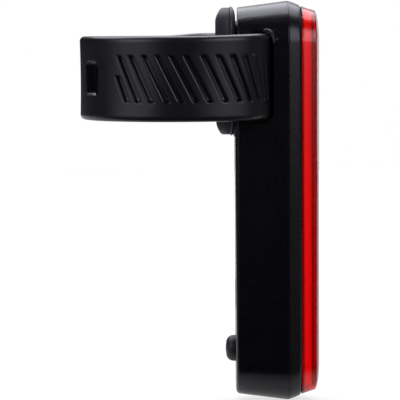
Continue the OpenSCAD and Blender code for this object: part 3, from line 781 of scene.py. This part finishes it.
def build_strap(settings):
    """The whole strap as one closed mesh, in millimetres: near bead, grooved sides, crown, tail and tab."""
    t, h = settings.thickness / MM, settings.height / MM
    half, flare, dish = t / 2, settings.flare / MM, settings.dish / MM
    g_w, g_d, g_h = settings.groove_width / MM, settings.groove_depth / MM, settings.groove_half / MM
    near, far, widest, hook_slot = strap_halves(t)
    edge = half - 0.1
    face = h / 2 - edge
    near_grooves = [widest + g for g in GROOVES]
    far_grooves = [widest + g for g in GROOVES if g < 0]
    bead_at = near.length - BEAD_R
    tab_round, end_drop, end_rise, thin_end = 3.0, 0.6, 0.2, 0.05

    def slant(s):
        return math.tan(math.radians(ramp(s - widest, SLANTS)))

    def far_slant(s):
        return slant(s) * (1 - ease(s, widest - 3.0, widest + 3.0))

    def depth(s, z, grooves):
        for k, g in enumerate(grooves):
            off = abs(s - g) / g_w
            if off < 0.5:
                top = 1.0 if k == 0 else g_h
                ends = ease(z, -g_h, -g_h + 0.7) * (1 - ease(z, top - 0.6, top))
                fade = 1 - 0.78 * ease(g - widest, 13.5, 21.0)
                return g_d * fade * ramp(off, GROOVE_SECTION) * ends
        return 0.0

    def section(path, s, grooves, lean):
        top, shift, thick = h / 2, 0.0, 1.0
        if path is far:
            left = path.length - s
            top += flare * ease(s, widest - 5.0, widest + 6.0)
            if left < half:
                thick = math.sqrt(max(0.0, 1 - ((half - left) / half) ** 2))
            if left < tab_round:
                top -= tab_round - math.sqrt(max(0.0, tab_round ** 2 - (tab_round - left) ** 2))
        else:
            off = s - bead_at
            shift = end_rise * ease(s, widest + 3.0, bead_at - 7.0)
            top += shift - end_drop * ease(s, bead_at - 5.0, bead_at - 0.5)
            if abs(off) < BEAD_R:
                thick = max(1.0 if off < 0 else 0.0, math.sqrt(BEAD_R ** 2 - off ** 2) / half)
            elif off >= BEAD_R:
                thick = 0.0
        thick = max(thick, thin_end)
        reach = top - edge
        ring = []

        def put(offset, z, share=0.0):
            ring.append(path.spot(s - z * lean * share, offset * thick, z + shift))

        def put_edge(middle, start):
            for k in range(1, 12):
                a = start + math.pi * k / 12
                put(math.copysign(half - edge, math.cos(a)) + edge * math.cos(a), middle + edge * math.sin(a))

        for r in rows:
            z = r * reach
            sunk = dish * (1 - r * r) + depth(s, z, grooves)
            put(half - sunk, z, 1.0 if abs(z) <= g_h else max(0.0, 1 - (abs(z) - g_h) / (reach - g_h)))
        put_edge(reach, 0.0)
        for k in range(9, -10, -1):
            put(-half, k / 9 * reach)
        put_edge(-reach, math.pi)
        return ring

    rows = strap_rows(g_h / face)
    near_cols = strap_columns(near_grooves, near.length, 0.5, g_w)
    near_cols += [near.length - d for d in (0.02, 0.08, 0.18, 0.32)]
    far_cols = strap_columns(far_grooves, far.length, 0.5, g_w)
    far_cols += [far.length - d for d in (0.015, 0.06, 0.15, 0.3)]
    rings = [section(near, s, near_grooves, slant(s)) for s in sorted(set(near_cols), reverse=True)]
    rings += [section(far, s, far_grooves, far_slant(s)) for s in sorted(set(far_cols)) if s > 0]
    crown_slot = (POST_R + t) * math.radians(SLOT_ANGLE)
    cutters = [slot_cutter(near, crown_slot, settings), slot_cutter(far, hook_slot, settings)]
    return loft_mesh("strap", rings), cutters


def slot_cutter(path, place, settings):
    """A plug for a slot with round corners and soft lips on both faces of the strap."""
    half, corner, lip, past, steps = settings.thickness / MM / 2, 1.3, 0.3, 0.9, 5
    side = [(half + past, lip + past)]
    for k in range(steps + 1):
        sunk = lip * k / steps
        side.append((half - sunk, lip - math.sqrt(max(0.0, lip ** 2 - (lip - sunk) ** 2))))
    rings = []
    for offset, grow in [(-offset, grow) for offset, grow in side] + side[::-1]:
        outline = round_outline(settings.slot_length / MM, settings.slot_height / MM, corner, -grow, 6, 1)
        rings.append([path.spot(place + along, offset, z) for along, z in outline])
    return loft_mesh("slot_plug", rings)


# ---------------------------------------------------------------- geometry nodes for what repeats

SCREW_HEAD_R = 1.8


def node_tree(name, inputs):
    """A Geometry Nodes tree with a geometry in and out and named size inputs."""
    tree = bpy.data.node_groups.new(name, "GeometryNodeTree")
    tree.interface.new_socket("Places", in_out="INPUT", socket_type="NodeSocketGeometry")
    for label, default in inputs:
        socket = tree.interface.new_socket(label, in_out="INPUT", socket_type="NodeSocketFloat")
        socket.default_value = default
    tree.interface.new_socket("Shape", in_out="OUTPUT", socket_type="NodeSocketGeometry")
    return tree, tree.nodes.new("NodeGroupInput"), tree.nodes.new("NodeGroupOutput")


def xyz(tree, x, y=0.0, z=0.0):
    """A vector from three values or outputs."""
    return add_node(tree, "ShaderNodeCombineXYZ", {"X": x, "Y": y, "Z": z}).outputs[0]


def moved(tree, shape, **changes):
    """A shape under a Translation, Rotation or Scale."""
    return add_node(tree, "GeometryNodeTransform", {"Geometry": shape, **changes}).outputs[0]


def block(tree, x, y, z):
    """A block round the origin."""
    return add_node(tree, "GeometryNodeMeshCube", {"Size": xyz(tree, x, y, z)}).outputs["Mesh"]


def repeat_shape(tree, given, shape, material):
    """Instances of a shape on the given places, realized and with a finish."""
    spread = {"Points": given.outputs["Places"], "Instance": shape}
    put = add_node(tree, "GeometryNodeInstanceOnPoints", spread)
    real = add_node(tree, "GeometryNodeRealizeInstances", {0: put.outputs[0]})
    finish = {"Geometry": real.outputs[0], "Material": MATERIALS[material]}
    return add_node(tree, "GeometryNodeSetMaterial", finish).outputs[0]


def cylinder_along_x(tree, radius, depth, start, vertices=40):
    """A cylinder along +X from a start."""
    sizes = {"Vertices": vertices, "Radius": radius, "Depth": depth}
    rod = add_node(tree, "GeometryNodeMeshCylinder", sizes).outputs["Mesh"]
    middle = add_node(tree, "ShaderNodeMath", {0: depth, 1: 0.5, 2: start}, operation="MULTIPLY_ADD")
    return moved(tree, rod, Translation=xyz(tree, middle.outputs[0]), Rotation=(0.0, math.pi / 2, 0.0))


def join(tree, *parts):
    """Shapes joined into one."""
    node = tree.nodes.new("GeometryNodeJoinGeometry")
    for part in parts:
        link(tree, part, node.inputs[0])
    return node.outputs[0]


def union(tree, *parts):
    """Shapes fused into one."""
    whole = add_node(tree, "GeometryNodeMeshBoolean", {"Mesh 2": join(tree, *parts)}, operation="UNION")
    return whole.outputs["Mesh"]


def screw_tree():
    """Pan-head screw along +X with a cross recess, put on each place."""
    tree, given, out = node_tree("Screw set", [
        ("Head radius", SCREW_HEAD_R * MM), ("Head height", 1.2 * MM), ("Shank radius", 0.95 * MM),
        ("Length", 6 * MM),
    ])
    radius, height, shank_r, whole_l = list(given.outputs)[1:5]
    head = cylinder_along_x(tree, radius, height, 0.0)
    shank = cylinder_along_x(tree, shank_r, math_node(tree, "SUBTRACT", whole_l, height), height, 32)
    wide, tall = (math_node(tree, "MULTIPLY", radius, share) for share in (0.34, 1.2))
    bar = block(tree, height, wide, tall)
    cross = join(tree, *(moved(tree, bar, Rotation=(turn, 0.0, 0.0)) for turn in (0.0, math.pi / 2)))
    shapes = {"Mesh 1": union(tree, head, shank), "Mesh 2": cross}
    recess = add_node(tree, "GeometryNodeMeshBoolean", shapes, operation="DIFFERENCE")
    link(tree, repeat_shape(tree, given, recess.outputs["Mesh"], "steel"), out.inputs[0])
    return tree


def led_tree():
    """Square LED package with a clear dome, put on each place."""
    tree, given, out = node_tree("LED row", [
        ("Width", 3.0 * MM), ("Height", 0.8 * MM), ("Dome radius", 1.1 * MM),
    ])
    width, height, dome_r = list(given.outputs)[1:4]
    half, quarter = (math_node(tree, "MULTIPLY", height, share) for share in (0.5, 0.25))
    seat = moved(tree, block(tree, half, width, width), Translation=xyz(tree, quarter))
    sizes = {"Segments": 32, "Rings": 16, "Radius": dome_r}
    ball = add_node(tree, "GeometryNodeMeshUVSphere", sizes).outputs["Mesh"]
    flat = xyz(tree, math_node(tree, "DIVIDE", half, dome_r), 1.0, 1.0)
    dome = moved(tree, ball, Scale=flat, Translation=xyz(tree, half))
    link(tree, repeat_shape(tree, given, union(tree, seat, dome), "led"), out.inputs[0])
    return tree


def repeated(name, tree, places_mm, **sizes_mm):
    """An object whose mesh is a tree's shape at each place, turned into a plain mesh."""
    mesh = bpy.data.meshes.new(name)
    mesh.from_pydata([Vector(p) * MM for p in places_mm], [], [])
    obj = new_object(name, mesh)
    modifier = obj.modifiers.new("repeat", "NODES")
    modifier.node_group = tree
    for item in tree.interface.items_tree:
        if item.item_type == "SOCKET" and item.in_out == "INPUT" and item.name in sizes_mm:
            modifier[item.identifier] = sizes_mm[item.name] * MM
    settle(obj)
    shade(obj.data, 35)
    return obj


# ---------------------------------------------------------------- operators


class RearLightOperator:
    """What the operators share."""

    bl_options = {"REGISTER", "UNDO"}


class REARLIGHT_OT_finishes(RearLightOperator, bpy.types.Operator):
    """Make the finishes of the light"""

    bl_idname = "rearlight.finishes"
    bl_label = "Finishes"

    def execute(self, context):
        make_materials(context)
        return {"FINISHED"}


class REARLIGHT_OT_case(RearLightOperator, bpy.types.Operator):
    """Show the rear shell, the bezel and the pad's plate"""

    bl_idname = "rearlight.case"
    bl_label = "Case"

    def execute(self, context):
        rigid_copy("rear_shell", "case_rear_shell", "light", "shell_black", "shell")
        self.bezel(context.scene.rear_light_case.set_back / MM)
        self.plate()
        self.pocket_lip(context.scene.rear_light_case.lip / MM)
        return {"FINISHED"}

    def bezel(self, set_back):
        """Front ring of the case, a little shorter so that more of the lens's side shows."""
        mesh = merged_copy("front_bezel")
        keep = 1 - set_back / (BEZEL_HIGH.x - SHELL_HIGH.x)
        for vertex in mesh.vertices:
            past = vertex.co.x - SHELL_HIGH.x * MM
            if past > 0:
                vertex.co.x -= past * (1 - keep)
        obj = new_object("case_front_bezel", mesh)
        shade(mesh, 32)
        weighted(obj)
        dress(obj, "light", "bezel_black", "bezel", "front_bezel")

    def plate(self):
        """Thin plate with a soft back edge, and the neck that joins it to the case."""
        low, high = node_box("pad_plate")
        screws_low, screws_high = node_box("pad_screws")
        width, height, middle = high.y - low.y, high.z - low.z, (low.z + high.z) / 2
        corner, soft, edge_x, back = 5.28, 3.0, low.x + 0.2, high.x - 0.5
        profile = [(0.25, low.x), (0.07, low.x + 0.07), (0.0, edge_x)]
        for k in range(1, 12):
            a = math.radians(84 * k / 11)
            profile.append((soft * (1 - math.cos(a)), edge_x + (back - edge_x) * math.sin(a)))
        slab = slab_mesh("case_pad_plate", profile, width, height, corner, middle)
        obj = new_object("case_pad_plate", slab)
        neck = slab_mesh(
            "pad_neck", [(0.0, low.x + 0.9), (0.0, high.x)],
            width - 4.0, height - 3.23, 3.28, middle - 1.83,
        )
        combine(obj, [neck], "UNION")
        head_r, shank_r, tip, past = 1.9, 1.05, 0.0005, 0.5
        seat, start, end = low.x + 1.2, low.x - past, high.x + past
        hole = [(tip, start), (head_r, start), (head_r, seat), (shank_r, seat), (shank_r, end), (tip, end)]
        heights = (screws_low.z + SCREW_HEAD_R, screws_high.z - SCREW_HEAD_R)
        combine(obj, [lathe_mesh("screw_hole", hole, (0.0, z), 40) for z in heights])
        shade(obj.data, 40)
        weighted(obj)
        dress(obj, "light", "shell_black", "plate", "pad_plate")

    def pocket_lip(self, width):
        """Raised lip on the shell's side, over the upper corner of the strap's pocket."""
        right, top, corner = 27.57, 11.26, 1.9
        line = [(right - corner - 0.3 + 0.15 * k, top) for k in range(2)]
        line += arc(right - corner, top - corner, corner, 90, 0, 20)
        line += [(right, top - corner - 0.3 * k) for k in range(1, 6)]
        points, radii = [], []
        for k, (x, z) in enumerate(line):
            reach = SHELL_HIGH.y - 0.127 * (BEZEL_LOW.x - x)
            over = max(0.0, z - (SHELL_HIGH.z - SHELL_HIGH.y))
            points.append((x, 0.12 - math.sqrt(reach ** 2 - over ** 2), z))
            radii.append(width * math.sin(math.pi * (k + 0.1) / (len(line) - 0.8)) ** 0.6)
        obj = new_object("case_pocket_lip", bead_mesh("case_pocket_lip", points, radii))
        shade(obj.data, 60)
        dress(obj, "light", "shell_black", "shell")


class REARLIGHT_OT_lens(RearLightOperator, bpy.types.Operator):
    """Build the clear red lens"""

    bl_idname = "rearlight.lens"
    bl_label = "Lens"

    def execute(self, context):
        settings = context.scene.rear_light_lens
        set_back = context.scene.rear_light_case.set_back
        root_x, nose_x, root = BEZEL_HIGH.x + (settings.gap - set_back) / MM, LENS_HIGH.x, LENS_HIGH.y
        centre_top, centre_low = LENS_HIGH.z - root, LENS_LOW.z + root
        side, lean, plate = settings.side / MM, settings.lean / MM, settings.plate / MM
        spigot, bore, inner_x = root - 1.2, root - 2.25, nose_x - plate
        brow, crown = root - lean, nose_x - root_x - side
        wall, ledge_x, soft, steps = settings.wall / MM, root_x + 0.25, 0.1, 24
        profile = [(root - wall - lean * (x - root_x) / side, x) for x in (inner_x, ledge_x)]
        profile += [(bore, ledge_x), (bore, LENS_LOW.x), (spigot, LENS_LOW.x), (spigot, root_x)]
        profile += [(root - soft, root_x), (root, root_x + soft)]
        profile += [(root - lean * k / 6, root_x + side * k / 6) for k in range(1, 6)]
        for k in range(steps):
            a = math.radians(90 * k / steps)
            profile.append((brow * math.cos(a), root_x + side + crown * math.sin(a)))
        obj = new_object("lens_red", pill_mesh("lens_red", profile, centre_low, centre_top))
        shade(obj.data, 40)
        weighted(obj)
        dress(obj, "light", "lens_red", "lens", "lens")
        return {"FINISHED"}


class REARLIGHT_OT_optics(RearLightOperator, bpy.types.Operator):
    """Finish the reflector, the LEDs and the board behind the lens"""

    bl_idname = "rearlight.optics"
    bl_label = "Optics"

    def execute(self, context):
        rigid_copy("reflector", "reflector_tray", "light", "reflector_white", "mirror")
        low, high = node_box("leds")
        width = 3.0
        count = round((high.z - low.z - width) / 9.0) + 1
        pitch = (high.z - low.z - width) / (count - 1)
        places = [(low.x, 0.0, low.z + width / 2 + pitch * k) for k in range(count)]
        sizes = {"Width": width, "Height": high.x - low.x, "Dome radius": 1.1}
        row = repeated("led_row", led_tree(), places, **sizes)
        dress(row, "light", "led_cream", None, "leds")
        for node, finish in (("led_board", "board"), ("driver_chip", "chip"), ("led_coil", "coil")):
            paint(node, finish)
        return {"FINISHED"}


class REARLIGHT_OT_strap(RearLightOperator, bpy.types.Operator):
    """Build the rubber strap in one piece"""

    bl_idname = "rearlight.strap"
    bl_label = "Strap"

    def execute(self, context):
        settings = context.scene.rear_light_strap
        mesh, cutters = build_strap(settings)
        obj = combine(new_object("strap_rubber_band", mesh), cutters)
        shade(obj.data, 48)
        obj.data.materials.clear()
        obj.data.materials.append(MATERIALS["strap"])
        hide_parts("strap_band", "strap_tail")
        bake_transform(obj)
        paint("strap_pin", "steel")
        return {"FINISHED"}


class REARLIGHT_OT_pad(RearLightOperator, bpy.types.Operator):
    """Round over the rubber pad that sits on the post"""

    bl_idname = "rearlight.pad"
    bl_label = "Post pad"

    def execute(self, context):
        soft = context.scene.rear_light_rubber.soft_edge / MM
        low, high = node_box("post_pad")
        width, height, middle = high.y - low.y, high.z - low.z, (low.z + high.z) / 2
        corner, rim = 5.0, 0.12
        rings = []
        for inset, x in ((rim, high.x), (0.0, high.x - rim)):
            rings.append([(x, y, middle + z) for y, z in round_outline(width, height, corner, inset)])
        for inset in [soft * k / 8 for k in range(9)] + [0.9, 1.5, 2.3, 3.2, 4.2, 5.2, 6.2, 7.0, 7.5]:
            back = soft * (1 - math.sqrt(max(0.0, 1 - max(0.0, 1 - inset / soft) ** 2)))
            rings.append([
                (max(low.x, math.sqrt(POST_R ** 2 - y ** 2)) + back, y, middle + z)
                for y, z in round_outline(width, height, corner, inset)
            ])
        obj = new_object("post_pad_rubber", loft_mesh("post_pad_rubber", rings))
        shade(obj.data, 60)
        dress(obj, "light", "pad_rubber", "pad", "post_pad")
        return {"FINISHED"}


class REARLIGHT_OT_button(RearLightOperator, bpy.types.Operator):
    """Build the rubber button and finish what it presses"""

    bl_idname = "rearlight.button"
    bl_label = "Button"

    def execute(self, context):
        low, high = node_box("button_boot")
        axis = (0.0, (low.z + high.z) / 2)
        radius, crown, corner = 3.15, 0.14, 1.75
        inner, flange = high.x - 0.7, (high.z - low.z) / 2
        x0, bore, roof, tip = low.x, 1.55, low.x + 1.9, 0.001
        cap = [(tip, x0)]
        cap += [((radius - corner) * k / 6, x0 + crown * (k / 6) ** 2) for k in range(1, 7)]
        edge = arc(radius - corner, x0 + crown + corner, corner, 270, 360, 10)[1:]
        profile = cap + edge + [(radius, inner), (flange - 0.1, inner), (flange, inner + 0.1)]
        profile += [(flange, high.x - 0.1), (flange - 0.1, high.x), (bore, high.x), (bore, roof), (tip, roof)]
        obj = new_object("button_rubber_boot", lathe_mesh("button_rubber_boot", profile, axis))
        shade(obj.data, 40)
        dress(obj, "button", "button_rubber", "button", "button_boot")
        for node, finish in (("button_plunger", "plunger"), ("switch_stem", "stem"), ("tact_switch", "chip")):
            paint(node, finish)
        return {"FINISHED"}


class REARLIGHT_OT_port(RearLightOperator, bpy.types.Operator):
    """Round over the port's rubber cover and finish the socket behind it"""

    bl_idname = "rearlight.port"
    bl_label = "Charging port"

    def execute(self, context):
        rounded_copy("port_cover", "port_rubber_cover", "cover", "button_rubber", "button", 0.14 * MM)
        rigid_copy("usb_shell", "port_socket_shell", "light", "port_steel", "port")
        paint("usb_tongue", "chip")
        return {"FINISHED"}


class REARLIGHT_OT_fasteners(RearLightOperator, bpy.types.Operator):
    """Build the pad plate's screws and finish the screws of the case and the board"""

    bl_idname = "rearlight.fasteners"
    bl_label = "Screws"

    def execute(self, context):
        tree = screw_tree()
        paint("case_screws", "steel")
        paint("board_screws", "steel")
        low, high = node_box("pad_screws")
        sizes = {"Head radius": SCREW_HEAD_R, "Head height": 1.2, "Shank radius": 0.95}
        sizes["Length"] = high.x - low.x
        places = [(low.x, 0.0, z) for z in (low.z + SCREW_HEAD_R, high.z - SCREW_HEAD_R)]
        screws = repeated("pad_screw_pair", tree, places, **sizes)
        dress(screws, "light", "screw_steel", None, "pad_screws")
        return {"FINISHED"}


class REARLIGHT_OT_inside(RearLightOperator, bpy.types.Operator):
    """Finish the battery, its wiring and the seals"""

    bl_idname = "rearlight.inside"
    bl_label = "Inner parts"

    def execute(self, context):
        for node, finish in (
            ("battery", "foil"),
            ("battery_tape", "tape"),
            ("battery_leads", "lead"),
            ("battery_plug", "connector"),
            ("battery_socket", "connector"),
            ("lens_seal", "seal"),
            ("case_seal", "seal"),
        ):
            paint(node, finish)
        return {"FINISHED"}


def paper_material(name, tint, seen, shine, cover):
    """Pale paper with a soft shadow.

    The camera, glass and gloss see a glow that covers a share of it; near the front edge, gloss sees black
    instead, a painted dark reflection."""
    material = bpy.data.materials.new(name)
    material.use_nodes = True
    tree = material.node_tree
    tree.nodes.remove(tree.nodes["Principled BSDF"])
    rays = tree.nodes.new("ShaderNodeLightPath").outputs
    camera, glossy, glass = (rays[f"Is {kind} Ray"] for kind in ("Camera", "Glossy", "Transmission"))

    def most(a, b, c):
        return math_node(tree, "MAXIMUM", a, math_node(tree, "MAXIMUM", b, c))

    shares = ((camera, seen), (glossy, shine), (glass, seen))
    strength = most(*(math_node(tree, "MULTIPLY", ray, share) for ray, share in shares))
    direct = math_node(tree, "MULTIPLY", most(camera, glossy, glass), cover)
    # painted dark reflection: gloss rays see the floor's front strip as black, while the camera still sees it
    # white
    front = rise(tree, split(tree, object_place(tree))["Y"], -0.010, -0.020)
    paper = add_node(tree, "ShaderNodeBsdfDiffuse", {"Color": (*tint, 1.0)})
    glow, painted_dark_reflection = (add_node(tree, "ShaderNodeEmission", {"Strength": power}) for power in (strength, 0.0))
    clear = tree.nodes.new("ShaderNodeBsdfTransparent")
    under = tree.nodes.new("ShaderNodeNewGeometry").outputs["Backfacing"]
    surface = mixed(tree, direct, paper.outputs[0], glow.outputs[0])
    surface = mixed(tree, math_node(tree, "MULTIPLY", glossy, front), surface, painted_dark_reflection.outputs[0])
    surface = mixed(tree, under, surface, clear.outputs[0])
    link(tree, surface, tree.nodes["Material Output"].inputs["Surface"])
    return material


def soft_box(name, centre, target, width, height, level):
    """A soft box of a given level, aimed at a point and hidden from the camera."""
    lamp = bpy.data.lights.new(name, "AREA")
    lamp.shape = "RECTANGLE"
    lamp.size, lamp.size_y = width, height
    lamp.energy = level * math.pi * width * height
    lamp.color = (0.93, 0.935, 1.0)
    obj = bpy.data.objects.new(name, lamp)
    bpy.context.scene.collection.objects.link(obj)
    obj.location = centre
    obj.rotation_mode = "QUATERNION"
    obj.rotation_quaternion = (Vector(target) - Vector(centre)).to_track_quat("-Z", "Y")
    obj.visible_camera = False
    return obj


class REARLIGHT_OT_stage(RearLightOperator, bpy.types.Operator):
    """Set the floor, the backdrop, the lamps and the camera"""

    bl_idname = "rearlight.stage"
    bl_label = "Stage"

    def execute(self, context):
        scene = context.scene
        settings = scene.rear_light_stage
        scene.view_settings.view_transform = "Standard"
        ground = CAD_BOX[0][2] - 0.0003
        front, wall, tall = -0.5, 0.75, 0.6
        floor_paper = paper_material("floor_white", settings.floor, 1.0, 0.7, 0.7)
        wall_paper = paper_material("backdrop_white", settings.floor, 1.0, 0.85, 1.0)
        for name, paper, left, right, near, top in (
            ("floor", floor_paper, -0.45, 0.45, front, 0.0),
            ("backdrop", wall_paper, -0.1, 0.5, wall, tall),
        ):
            corners = [(left, near, 0.0), (right, near, 0.0), (right, wall, top), (left, wall, top)]
            mesh = bpy.data.meshes.new(name)
            mesh.from_pydata([(x, y, ground + z) for x, y, z in corners], [], [(0, 1, 2, 3)])
            mesh.materials.append(paper)
            new_object(name, mesh)
        world = bpy.data.worlds.new("studio")
        scene.world = world
        world.use_nodes = True
        tree = world.node_tree
        room, white = tree.nodes["Background"], tree.nodes.new("ShaderNodeBackground")
        for sky, strength in ((room, settings.room), (white, 1.0)):
            sky.inputs["Color"].default_value = (1.0, 1.0, 1.0, 1.0)
            sky.inputs["Strength"].default_value = strength
        seen = tree.nodes.new("ShaderNodeLightPath").outputs["Is Camera Ray"]
        sky = mixed(tree, seen, room.outputs[0], white.outputs[0])
        link(tree, sky, tree.nodes["World Output"].inputs["Surface"])
        away, middle = 0.75, 0.012
        for name, turn, width, low, high, level in (
            ("left_box", -49.0, 0.55, 0.008, 0.56, settings.side * 0.92),
            ("right_box", 42.0, 0.42, 0.05, 0.56, settings.side * 1.32),
            ("right_fill", 80.0, 1.2, -0.075, 0.5, settings.fill),
            ("rim_box", 136.0, 0.45, -0.075, 0.5, settings.rim),
        ):
            a = math.radians(turn)
            centre = Vector((middle + away * math.sin(a), -away * math.cos(a), (low + high) / 2))
            soft_box(name, centre, (middle, 0.0, centre.z), width, high - low, level)
        soft_box("top_box", (-0.08, 0.40, 0.6), (-0.08, 0.40, 0.0), 1.0, 0.82, settings.top)
        camera = bpy.data.cameras.new("camera")
        camera.lens = settings.focal
        camera.sensor_width = 36.0
        eye = bpy.data.objects.new("camera", camera)
        scene.collection.objects.link(eye)
        spot, look = Vector((0.01025, -0.451, 0.01114)), Vector((0.01025, 0.0, -0.02965))
        eye.location = spot
        eye.rotation_mode = "QUATERNION"
        roll = Matrix.Rotation(math.radians(-0.367), 4, "Z").to_quaternion()
        eye.rotation_quaternion = (look - spot).to_track_quat("-Z", "Y") @ roll
        scene.camera = eye
        return {"FINISHED"}


class REARLIGHT_PT_panel(bpy.types.Panel):
    """Sidebar panel with every step of the rear light"""

    bl_idname = "REARLIGHT_PT_panel"
    bl_label = "Rear light"
    bl_space_type = "VIEW_3D"
    bl_region_type = "UI"
    bl_category = "Rear light"

    def draw(self, context):
        for operator in STEPS:
            self.layout.operator(operator.bl_idname)
        for name in SETTINGS:
            group = getattr(context.scene, name)
            box = self.layout.box()
            for key in group.__annotations__:
                box.prop(group, key)


SETTINGS = {
    "rear_light_case": RearLightCase,
    "rear_light_lens": RearLightLens,
    "rear_light_strap": RearLightStrap,
    "rear_light_rubber": RearLightRubber,
    "rear_light_stage": RearLightStage,
}
STEPS = (
    REARLIGHT_OT_stage,
    REARLIGHT_OT_finishes,
    REARLIGHT_OT_case,
    REARLIGHT_OT_lens,
    REARLIGHT_OT_optics,
    REARLIGHT_OT_strap,
    REARLIGHT_OT_pad,
    REARLIGHT_OT_button,
    REARLIGHT_OT_port,
    REARLIGHT_OT_fasteners,
    REARLIGHT_OT_inside,
)


def register():
    for name, group in SETTINGS.items():
        bpy.utils.register_class(group)
        setattr(bpy.types.Scene, name, bpy.props.PointerProperty(type=group))
    for cls in (*STEPS, REARLIGHT_PT_panel):
        bpy.utils.register_class(cls)


def unregister():
    for cls in reversed((*STEPS, REARLIGHT_PT_panel)):
        bpy.utils.unregister_class(cls)
    for name, group in reversed(SETTINGS.items()):
        delattr(bpy.types.Scene, name)
        bpy.utils.unregister_class(group)


def main():
    register()
    for operator in STEPS:
        getattr(bpy.ops.rearlight, operator.bl_idname.split(".")[1])()


if __name__ == "__main__":
    main()
